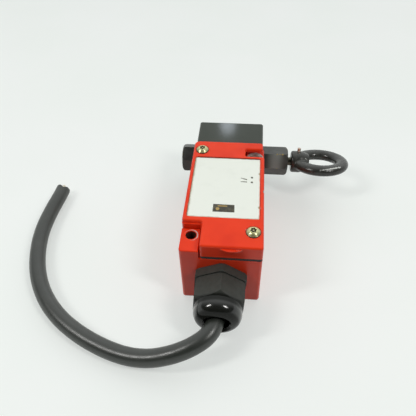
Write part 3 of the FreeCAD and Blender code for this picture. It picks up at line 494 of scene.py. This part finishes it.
# Finishes of two close tones, by material slot or use
plain_finishes = {
    "rod_steel": dict(
        name="turned_steel", dark=rgb(0.075, 0.068, 0.050), light=rgb(0.13, 0.12, 0.09),
        scale=420.0, rough_least=0.36, rough_most=0.48, metal=0.8,
    ),
    "spring_steel": dict(
        name="spring_wire", dark=rgb(0.42, 0.42, 0.43), light=rgb(0.56, 0.56, 0.57),
        scale=600.0, rough_least=0.24, rough_most=0.34, metal=1.0,
    ),
    "pin_steel": dict(
        name="pin_steel", dark=rgb(0.62, 0.40, 0.28), light=rgb(0.66, 0.60, 0.52),
        scale=700.0, rough_least=0.24, rough_most=0.36, metal=1.0,
    ),
    "contact_brass": dict(
        name="contact_strip", dark=rgb(0.60, 0.44, 0.17), light=rgb(0.74, 0.57, 0.26),
        scale=500.0, rough_least=0.24, rough_most=0.36, metal=1.0,
    ),
    "bush_bronze": dict(
        name="sintered_bronze", dark=rgb(0.38, 0.25, 0.12), light=rgb(0.50, 0.35, 0.18),
        scale=1200.0, rough_least=0.42, rough_most=0.56, metal=1.0,
    ),
    "copper": dict(
        name="core_copper", dark=rgb(0.52, 0.24, 0.12), light=rgb(0.64, 0.33, 0.18),
        scale=900.0, rough_least=0.30, rough_most=0.42, metal=1.0,
    ),
    "black_rubber": dict(
        name="rubber", dark=rgb(0.022, 0.026, 0.024), light=rgb(0.036, 0.040, 0.037),
        scale=500.0, rough_least=0.62, rough_most=0.74,
    ),
    "core_insulation": dict(
        name="core_insulation", dark=rgb(0.70, 0.66, 0.52), light=rgb(0.82, 0.79, 0.67),
        scale=500.0, rough_least=0.45, rough_most=0.58,
    ),
    "contact_plastic": dict(
        name="contact_plastic", dark=rgb(0.030, 0.030, 0.033), light=rgb(0.045, 0.045, 0.048),
        scale=350.0, rough_least=0.42, rough_most=0.55,
    ),
    "carrier_plastic": dict(
        name="carrier_plastic", dark=rgb(0.66, 0.66, 0.61), light=rgb(0.74, 0.74, 0.69),
        scale=350.0, rough_least=0.40, rough_most=0.52,
    ),
    "ink": dict(
        name="label_ink", dark=rgb(0.034, 0.031, 0.020), light=rgb(0.080, 0.072, 0.040),
        scale=650.0, rough_least=0.42, rough_most=0.55,
    ),
    "amber": dict(
        name="label_amber", dark=rgb(0.38, 0.24, 0.05), light=rgb(0.56, 0.38, 0.12),
        scale=600.0, rough_least=0.40, rough_most=0.52,
    ),
}
rough_finer = 2.3
relief_finer = 5


def plain(name, dark, light, scale, rough_least, rough_most, metal=0.0):
    """Two close tones mixed by a noise of that scale, with a finer change of gloss and a little relief."""
    made, tree, paint = shader(name)
    where = place(tree)
    colour = blend(tree, varied(tree, where, scale, least=0.0, most=1.0), dark, light)
    rough = varied(tree, where, scale * rough_finer, rough_least, rough_most, detail=2.0)
    relief = bump(tree, noise(tree, where, scale * relief_finer), strength=0.08, distance=0.04 * MM)
    paint.inputs["Metallic"].default_value = metal
    connect(tree, paint, colour=colour, rough=rough, normal=relief)
    return made


def make_materials():
    finishes = {slot: plain(**row) for slot, row in plain_finishes.items()}
    finishes["red_housing"] = red_enamel("red_housing", housing_wear, [near_hole])
    finishes["red_cover"] = red_enamel("red_cover", cover_wear)
    finishes["black_paint"] = black_enamel("black_enamel")
    finishes["cap_steel"] = black_steel(
        "cap_steel", steel_black, steel_grey, brass_wear, wear_low=0.60, roughness=0.30, lumps=0.02 * MM,
    )
    finishes["barrel_steel"] = black_steel(
        "barrel_steel", barrel_dark, barrel_light, brass_wear, wear_low=0.58, roughness=0.32, lumps=0.02 * MM,
        glow_x=barrel_middle, chips_and_glints=barrel_chips,
    )
    finishes["eye_steel"] = black_steel(
        "eye_steel", eye_dark, eye_light, bare_steel_glint, wear_low=0.60, roughness=0.20, lumps=0.10 * MM,
        chips_and_glints=eye_chips_and_glints,
    )
    finishes["yellow_zinc"] = zinc_yellow("yellow_zinc")
    finishes["label_white"] = label_white("label_white")
    finishes["gland_nylon"] = gland_nylon("gland_nylon")
    finishes["cable_sheath"] = sheath("cable_sheath")
    return finishes


# Nodes and slots whose finish has another name than the slot
node_finish = {
    "housing": "red_housing",
    "cover": "red_cover",
    "rope_eye": "eye_steel",
    "spring_barrel": "barrel_steel",
}
slot_finish = {"black_steel": "cap_steel"}


def dress_parts(finishes):
    """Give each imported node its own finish, or that of its material slot."""
    for entry in frame["record"]["subparts"]:
        name = entry["node"]
        slot = entry["material_slot"]
        finish = node_finish.get(name, slot_finish.get(slot, slot))
        mesh = parts[name].data
        mesh.materials.clear()
        mesh.materials.append(finishes[finish])


# Mesh helpers for new pieces
def skin(rings):
    """Vertices and faces of a skin through closed rings, with a fan at each end."""
    count = len(rings[0])
    verts = [point for ring in rings for point in ring]
    faces = []
    for i in range(len(rings) - 1):
        for j in range(count):
            k = (j + 1) % count
            faces.append((i * count + j, (i + 1) * count + j, (i + 1) * count + k, i * count + k))
    last = (len(rings) - 1) * count
    verts.append(sum(rings[0], Vector()) / count)
    verts.append(sum(rings[-1], Vector()) / count)
    for j in range(count):
        k = (j + 1) % count
        faces.append((len(verts) - 2, j, k))
        faces.append((len(verts) - 1, last + k, last + j))
    return verts, faces


def join(shapes):
    """One list of vertices and faces from several."""
    verts = []
    faces = []
    for more_verts, more_faces in shapes:
        start = len(verts)
        verts += more_verts
        faces += [tuple(start + i for i in face) for face in more_faces]
    return verts, faces


def piece(name, shape, finish, body, sharp_degrees=35):
    mesh = bpy.data.meshes.new(name)
    mesh.from_pydata(shape[0], [], shape[1])
    mesh.polygons.foreach_set("use_smooth", [True] * len(mesh.polygons))
    mesh.set_sharp_from_angle(angle=math.radians(sharp_degrees))
    mesh.materials.append(finish)
    made = bpy.data.objects.new(name, mesh)
    bpy.context.scene.collection.objects.link(made)
    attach(made, body)
    return made


def turns(count):
    """Angles of that many even steps round a circle."""
    return [2 * math.pi * j / count for j in range(count)]


def ring_of(radius_at, height, count):
    """Ring round +Z, where radius_at gives the radius at an angle."""
    ring = []
    for angle in turns(count):
        radius = radius_at(angle)
        ring.append(Vector((radius * math.cos(angle), radius * math.sin(angle), height)))
    return ring


# Screws with drive recesses, in place of the imported ones. Each crown ring is a share of the way out to the rim
# and its darkening by dirt and painted shade; each rim ring is how far in and down it lies, in shares of
# screw_edge, and its darkening by dirt and painted shade.
screw_steps = 72
screw_edge = 0.18 * MM
lobe_r = 1.32 * MM
lobe_depth = 0.24 * MM
socket_r = 1.25 * MM
pin_height_share = 0.7
pin_tip_share = 0.7
pin_bevel = 0.1 * MM
crown_rings = [(0.0, 0.0), (0.25, 0.0), (0.5, 0.0), (0.75, 0.1), (1.0, 0.65)]
rim_rings = [(0.3, 0.4, 0.9), (0.0, 1.2, 1.0)]


def six_lobe(angle):
    """Drive recess of the cover screws."""
    return lobe_r + lobe_depth * math.cos(6 * angle)


def hex_socket(angle):
    """Drive recess of the head screws."""
    sixth = math.pi / 3
    return socket_r / math.cos((angle + sixth / 2) % sixth - sixth / 2)


def screw_shape(head_d, head_h, crown, shank_d, length, drive, drive_depth, pin_r):
    """Screw standing on its head's underside; returns its shape and the darkening by dirt and painted shade on
    each vertex.
    """
    head_r = head_d / 2
    shank_r = shank_d / 2
    ball = (head_r ** 2 + crown ** 2) / (2 * crown)
    floor = head_h - drive_depth
    rings = []
    dirt_and_shade = []

    def top(radius):
        return head_h - ball + math.sqrt(ball ** 2 - radius ** 2)

    def put(radius_at, height, dirt_and_shade_level):
        rings.append(ring_of(radius_at, height, screw_steps))
        dirt_and_shade.extend([dirt_and_shade_level] * screw_steps)

    def put_circle(radius, height, dirt_and_shade_level):
        put(lambda angle: radius, height, dirt_and_shade_level)

    if pin_r:
        pin_top = floor + pin_height_share * drive_depth
        put_circle(pin_r * pin_tip_share, pin_top, dirt_and_shade_level=0.45)
        put_circle(pin_r, pin_top - pin_bevel, dirt_and_shade_level=0.6)
        put_circle(pin_r, floor, dirt_and_shade_level=1.0)
    bevel = screw_edge / 3
    wide = max(drive(angle) for angle in turns(screw_steps)) + 2 * bevel
    put(drive, floor, dirt_and_shade_level=1.0)
    put(drive, top(wide) - bevel, dirt_and_shade_level=0.75)
    put(lambda angle: drive(angle) + bevel, top(wide), dirt_and_shade_level=0.25)
    crown_r = head_r - screw_edge
    for share, dirt_and_shade_level in crown_rings:
        radius = wide + (crown_r - wide) * share
        put_circle(radius, top(radius), dirt_and_shade_level)
    for inward, down, dirt_and_shade_level in rim_rings:
        put_circle(head_r - screw_edge * inward, top(crown_r) - screw_edge * down, dirt_and_shade_level)
    put_circle(head_r, 0.0, dirt_and_shade_level=1.0)
    put_circle(shank_r, 0.0, dirt_and_shade_level=1.0)
    put_circle(shank_r, -length + screw_edge, dirt_and_shade_level=1.0)
    put_circle(shank_r - screw_edge, -length, dirt_and_shade_level=1.0)
    return skin(rings), dirt_and_shade + [dirt_and_shade[0], 1.0]


def add_screws(name, node, places, turn, finish, **sizes):
    """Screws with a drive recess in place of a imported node; turn sends +Z to their outward axis."""
    shapes = []
    dirt_and_shade = []
    for spot, spin in places:
        (verts, faces), shares = screw_shape(**sizes)
        matrix = Matrix.Translation(spot) @ turn.to_4x4() @ Matrix.Rotation(math.radians(spin), 4, "Z")
        shapes.append(([matrix @ point for point in verts], faces))
        dirt_and_shade += shares
    made = piece(name, join(shapes), finish, "housing")
    layer = made.data.attributes.new("dirt_and_shade", "FLOAT", "POINT")
    layer.data.foreach_set("value", dirt_and_shade)
    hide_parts(node)


def add_cover_screws(finish):
    spin_degrees = (12, 40)
    places = []
    for (x, y), spin in zip(cover_screws, spin_degrees):
        places.append((Vector((x, y, screw_seat)), spin))
    add_screws(
        "cover_screw_heads", "cover_screws", places, Matrix.Identity(3), finish,
        head_d=7.0 * MM, head_h=2.28 * MM, crown=1.95 * MM, shank_d=4.0 * MM, length=19.4 * MM,
        drive=six_lobe, drive_depth=1.3 * MM, pin_r=0.5 * MM,
    )


def add_head_screws(finish):
    head_d = 5.6 * MM
    packed_head_h = 2.6 * MM
    tip_gap = 0.05 * MM
    first_spin = 17
    spin_per_metre = 3000
    low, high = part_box("head_screws")
    seat_y = high.y - packed_head_h
    places = []
    for x in (low.x + head_d / 2, high.x - head_d / 2):
        for z in (low.z + head_d / 2, high.z - head_d / 2):
            places.append((Vector((x, seat_y, z)), first_spin + spin_per_metre * x))
    add_screws(
        "head_screw_caps", "head_screws", places, Matrix.Rotation(math.radians(-90), 3, "X"), finish,
        head_d=head_d, head_h=2.55 * MM, crown=0.12 * MM, shank_d=3.0 * MM, length=seat_y - low.y - tip_gap,
        drive=hex_socket, drive_depth=1.5 * MM, pin_r=0.0,
    )


# Rope eye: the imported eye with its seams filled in, as on a forging
forge_voxel = 0.3 * MM
forge_settle = 4
forge_passes = 420
bore_clear = 4.2 * MM
bore_depth = 8.0 * MM


def soften(points, ends, passes):
    """Points drawn half way to the middle of their neighbours, pass after pass."""
    count = len(points)
    starts = np.concatenate((ends[:, 0], ends[:, 1]))
    others = np.concatenate((ends[:, 1], ends[:, 0]))
    share = np.bincount(starts, minlength=count)[:, None]
    for step in range(passes):
        totals = [np.bincount(starts, weights=points[others, axis], minlength=count) for axis in range(3)]
        points = (points + np.stack(totals, axis=1) / share) / 2
    return points


def read_rows(items, name, width, kind):
    """One attribute of mesh items as rows."""
    values = np.empty(len(items) * width, dtype=kind)
    items.foreach_get(name, values)
    return values.reshape(-1, width)


def add_forged_eye(finish):
    blank = bpy.data.objects.new("eye_blank", parts["rope_eye"].data.copy())
    bpy.context.scene.collection.objects.link(blank)
    remesh = blank.modifiers.new("remesh", "REMESH")
    remesh.mode = "VOXEL"
    remesh.voxel_size = forge_voxel
    mesh = bpy.data.meshes.new_from_object(blank.evaluated_get(bpy.context.evaluated_depsgraph_get()))
    bpy.data.objects.remove(blank)
    ends = read_rows(mesh.edges, "vertices", 2, np.int32)
    normals = read_rows(mesh.vertices, "normal", 3, np.float32)
    settled = soften(read_rows(mesh.vertices, "co", 3, np.float32).astype(float), ends, forge_settle)
    moved = soften(settled, ends, forge_passes) - settled
    fill = np.clip((moved * normals).sum(axis=1), 0.0, None)
    rod_low, rod_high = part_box("pull_rod")
    axis_y = (rod_low.y + rod_high.y) / 2
    axis_z = (rod_low.z + rod_high.z) / 2
    from_axis = np.hypot(settled[:, 1] - axis_y, settled[:, 2] - axis_z)
    in_bore = (from_axis < bore_clear) & (settled[:, 0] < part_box("rope_eye")[0].x + bore_depth)
    fill[in_bore] = 0.0
    filled = soften(settled + normals * fill[:, None], ends, forge_settle)
    shape = ([Vector(point) for point in filled], [tuple(face.vertices) for face in mesh.polygons])
    bpy.data.meshes.remove(mesh)
    made = piece("forged_eye", shape, finish, "pull_rod", sharp_degrees=70)
    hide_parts("rope_eye")


def add_spring(node, finish):
    mesh = parts[node].data
    shape = ([point.co.copy() for point in mesh.vertices], [tuple(face.vertices) for face in mesh.polygons])
    made = piece(node + "_coil", shape, finish, "housing")
    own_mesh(made)
    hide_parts(node)


def add_springs(finish):
    add_spring("return_spring", finish)
    add_spring("carrier_spring", finish)


# Generic print on the label: a contact pictogram and a dark block with an amber mark. Outlines are in
# millimetres on the label, and each stroke is a start, an end and the width at each.
print_height = 0.03 * MM
block_corners = [(-5.5, -17.5), (5.4, -17.4), (5.2, -12.3), (-5.5, -12.2)]
contact_dots = [(13.5, 8.6), (13.5, 4.9)]
contact_dot_r = 0.62
contact_strokes = [
    ((7.6, 7.9), (10.9, 6.9), (0.35, 0.75)),
    ((7.6, 5.1), (10.9, 5.0), (0.35, 0.65)),
]
amber_dot = (-3.1, -15.4)
amber_dot_r = 0.95
amber_bar = [(-3.2, -13.7), (1.6, -13.7), (1.6, -13.1), (-3.2, -13.1)]


def flat_print(outline, lift=0.0):
    """Thin patch with that outline, standing out of the label by print_height and lift."""
    rings = []
    for z in (label_top + print_height, label_top - print_height):
        rings.append([Vector((x * MM, y * MM, z + lift)) for x, y in outline])
    return skin(rings)


def disc(centre, radius, count=20):
    x, y = centre
    return [(x + radius * math.cos(angle), y + radius * math.sin(angle)) for angle in turns(count)]


def stroke(start, end, widths):
    """Stroke between two points, with a width at each."""
    start = Vector(start)
    end = Vector(end)
    along = (end - start).normalized()
    side = Vector((-along.y, along.x))
    start_side = side * widths[0] / 2
    end_side = side * widths[1] / 2
    corners = [start - start_side, end - end_side, end + end_side, start + start_side]
    return [(corner.x, corner.y) for corner in corners]


def add_label_prints(finishes):
    marks = [block_corners]
    marks += [disc(centre, contact_dot_r) for centre in contact_dots]
    marks += [stroke(*row) for row in contact_strokes]
    dark = join([flat_print(mark) for mark in marks])
    piece("label_print", dark, finishes["ink"], "housing")
    amber = join([flat_print(mark, print_height) for mark in (disc(amber_dot, amber_dot_r), amber_bar)])
    piece("label_amber", amber, finishes["amber"], "housing")


# Cable: a smooth line with the tube's route points as its control points
cable_d = 8.7 * MM
cable_route = [
    (0.0000, -0.0420, 0.0170),
    (0.0000, -0.0586, 0.0170),
    (-0.0013, -0.0670, 0.0169),
    (-0.0042, -0.0717, 0.0162),
    (-0.0086, -0.0749, 0.0150),
    (-0.0142, -0.0775, 0.0132),
    (-0.0215, -0.0793, 0.0106),
    (-0.0305, -0.0800, 0.0076),
    (-0.0415, -0.0787, 0.0054),
    (-0.0540, -0.0749, 0.0047),
    (-0.0673, -0.0689, 0.0047),
    (-0.0800, -0.0607, 0.0047),
    (-0.0912, -0.0496, 0.0047),
    (-0.0998, -0.0360, 0.0047),
    (-0.1054, -0.0206, 0.0047),
    (-0.1083, -0.0042, 0.0047),
    (-0.1080, 0.0120, 0.0047),
    (-0.1068, 0.0230, 0.0047),
    (-0.1065, 0.0292, 0.0047),
]


def add_cable(finishes):
    curve = bpy.data.curves.new("cable_flex", "CURVE")
    curve.dimensions = "3D"
    curve.bevel_depth = cable_d / 2
    curve.bevel_resolution = 10
    curve.use_fill_caps = True
    spline = curve.splines.new("NURBS")
    spline.points.add(len(cable_route) - 1)
    for point, spot in zip(spline.points, cable_route):
        point.co = (*spot, 1.0)
    spline.order_u = 3
    spline.use_endpoint_u = True
    spline.resolution_u = 10
    curve.materials.append(finishes["cable_sheath"])
    flex = bpy.data.objects.new("cable_flex", curve)
    bpy.context.scene.collection.objects.link(flex)
    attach(flex, "housing")
    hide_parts("cable")
    ends = add_cable_end(finishes)


# Cut end of the cable: a ragged sheath with a notch, and pale cores inside. Lengths are from the cable's last
# point on, and each ragged wave is a height, a count round the rim and a phase.
end_steps = 36
sheath_wall = 1.1 * MM
sheath_lip = 0.25 * MM
outer_round = 0.1 * MM
inner_round = 0.15 * MM
sheath_overlap = 0.6 * MM
sheath_floor = 0.1 * MM
sheath_reach = 1.85 * MM
sheath_slant = 0.3 * MM
ragged_waves = [(0.2 * MM, 5, 0.7), (0.15 * MM, 9, 2.1)]
notch_angle = math.radians(72)
notch_sharpness = 22
core_lengths = (2.9 * MM, 1.5 * MM, 1.2 * MM, 1.6 * MM)
core_r = 1.15 * MM
core_circle_r = 2.0 * MM
copper_share = 0.55
copper_beyond = 0.5 * MM
bar_profile = [(0.8, 0.0), (1.0, 0.08), (1.0, 0.92), (0.8, 1.0)]


def bar(start, along, radius, length, count=20):
    """Round bar with softened ends; its profile gives shares of the radius and of the length."""
    turn = along.to_track_quat("Z", "Y").to_matrix()
    rings = []
    for share, height in bar_profile:
        ring = ring_of(lambda angle: radius * share, height * length, count)
        rings.append([start + turn @ point for point in ring])
    return skin(rings)


def cut_reach(angle):
    """How far the cut sheath reaches beyond the cable's last point, at an angle round it."""
    ragged = sum(height * math.sin(count * angle + phase) for height, count, phase in ragged_waves)
    notch = max(0.0, math.cos(angle - notch_angle)) ** notch_sharpness
    return sheath_reach - sheath_slant * math.cos(angle) + ragged - sheath_reach * notch


def add_cable_end(finishes):
    tip = Vector(cable_route[-1])
    ahead = (tip - Vector(cable_route[-2])).normalized()
    across = ahead.cross(Vector((0, 0, 1))).normalized()
    up = across.cross(ahead)

    def at(angle, radius, reach):
        return tip + across * (radius * math.cos(angle)) + up * (radius * math.sin(angle)) + ahead * reach

    outer = cable_d / 2
    inner = outer - sheath_wall
    angles = turns(end_steps)
    rings = [
        [at(angle, outer, -sheath_overlap) for angle in angles],
        [at(angle, outer, cut_reach(angle) - outer_round) for angle in angles],
        [at(angle, outer - sheath_lip, cut_reach(angle)) for angle in angles],
        [at(angle, inner, cut_reach(angle) - inner_round) for angle in angles],
        [at(angle, inner, sheath_floor) for angle in angles],
    ]
    jacket = piece("cable_end_sheath", skin(rings), finishes["cable_sheath"], "housing")
    cores = []
    wires = []
    for k, length in enumerate(core_lengths):
        centre = at(notch_angle + math.radians(90 * k), core_circle_r, 0.0)
        cores.append(bar(centre, ahead, core_r, length))
        wires.append(bar(centre, ahead, core_r * copper_share, length + copper_beyond))
    filler = piece("cable_end_cores", join(cores), finishes["core_insulation"], "housing")
    copper = piece("cable_end_copper", join(wires), finishes["copper"], "housing")
    return [jacket, filler, copper]


# Floor, light and world. The floor shows the share floor_glow of its paleness by itself and the rest by the
# light on it.
floor_half = 3.0
floor_glow = 0.48
floor_pale = rgb(0.885, 0.925, 0.895)
floor_paler = rgb(0.905, 0.935, 0.915)
floor_bounce = rgb(0.34, 0.35, 0.34)
black = rgb(0.0, 0.0, 0.0)
sky_colour = rgb(0.96, 0.985, 0.98)
sky_towards = (0.0, 0.9, 0.436)
sky_least = 0.08
sky_most = 1.18
horizon_glow = 0.85


def looked_at(tree):
    """1 for rays that show a surface, straight, mirrored or through glass."""
    seen = add(tree, "ShaderNodeLightPath").outputs
    shown = maths(tree, "MAXIMUM", seen["Is Camera Ray"], seen["Is Glossy Ray"])
    return maths(tree, "MAXIMUM", shown, seen["Is Transmission Ray"])


def add_floor():
    mesh = bpy.data.meshes.new("floor")
    corners = [(x * floor_half, y * floor_half, 0) for x, y in ((-1, -1), (1, -1), (1, 1), (-1, 1))]
    mesh.from_pydata(corners, [], [(0, 1, 2, 3)])
    made, tree, paint = shader("floor")
    shown = looked_at(tree)
    pale = blend(tree, varied(tree, place(tree), scale=9.0, least=0.0, most=1.0), floor_pale, floor_paler)
    lit = blend(tree, 1.0 - floor_glow, black, pale)
    connect(tree, paint, colour=blend(tree, shown, floor_bounce, lit))
    tree.links.new(pale, paint.inputs["Emission Color"])
    tree.links.new(maths(tree, "MULTIPLY", shown, floor_glow), paint.inputs["Emission Strength"])
    paint.inputs["Roughness"].default_value = 0.75
    paint.inputs["Specular IOR Level"].default_value = 0.1
    mesh.materials.append(made)
    floor = bpy.data.objects.new("floor", mesh)
    bpy.context.scene.collection.objects.link(floor)


def add_light(name, towards, width, height, power, colour):
    """Oval soft lamp in the direction towards, aimed at the part."""
    target = Vector((0, 0, 0.02))
    distance = 1.0
    data = bpy.data.lights.new(name, "AREA")
    data.shape = "ELLIPSE"
    data.size = width
    data.size_y = height
    data.energy = power
    data.color = colour
    lamp = bpy.data.objects.new(name, data)
    direction = Vector(towards).normalized()
    lamp.location = target + direction * distance
    lamp.rotation_euler = direction.to_track_quat("Z", "Y").to_euler()
    bpy.context.scene.collection.objects.link(lamp)


def add_world():
    """Pale room: it lights the part from above and behind and little from the near side. Its horizon shows
    about as pale as the floor."""
    world = bpy.data.worlds.new("world")
    world.use_nodes = True
    tree = world.node_tree
    ray = add(tree, "ShaderNodeTexCoord").outputs["Generated"]
    facing = vectors(tree, "DOT_PRODUCT", ray, sky_towards)["Value"]
    sky = tree.nodes["Background"]
    sky.inputs["Color"].default_value = sky_colour
    lit = level(tree, facing, low=0.0, high=1.0, to_low=sky_least, to_high=sky_most)
    low_down = level(tree, axes(tree, ray)["Z"], low=0.28, high=0.18)
    horizon = maths(tree, "MULTIPLY", looked_at(tree), low_down)
    shown = add(tree, "ShaderNodeMix", {0: horizon, 2: lit, 3: horizon_glow})
    tree.links.new(shown.outputs[0], sky.inputs["Strength"])
    bpy.context.scene.world = world


def add_stage():
    warm = (1.0, 0.99, 0.97)
    cool = (0.82, 0.90, 1.0)
    add_floor()
    add_world()
    add_light("left_box", (-0.62, -0.25, 0.74), width=0.16, height=0.36, power=2.8, colour=warm)
    add_light("right_box", (0.56, -0.28, 0.78), width=0.16, height=0.36, power=3.0, colour=warm)
    add_light("far_glow", (-0.042, 0.82, 0.565), width=0.04, height=0.06, power=0.055, colour=cool)
    bpy.context.scene.view_settings.view_transform = "Standard"


add_camera()
finishes = make_materials()
dress_parts(finishes)
add_cable(finishes)
add_cover_screws(finishes["yellow_zinc"])
add_head_screws(finishes["yellow_zinc"])
add_forged_eye(finishes["eye_steel"])
add_springs(finishes["spring_steel"])
add_label_prints(finishes)
add_stage()
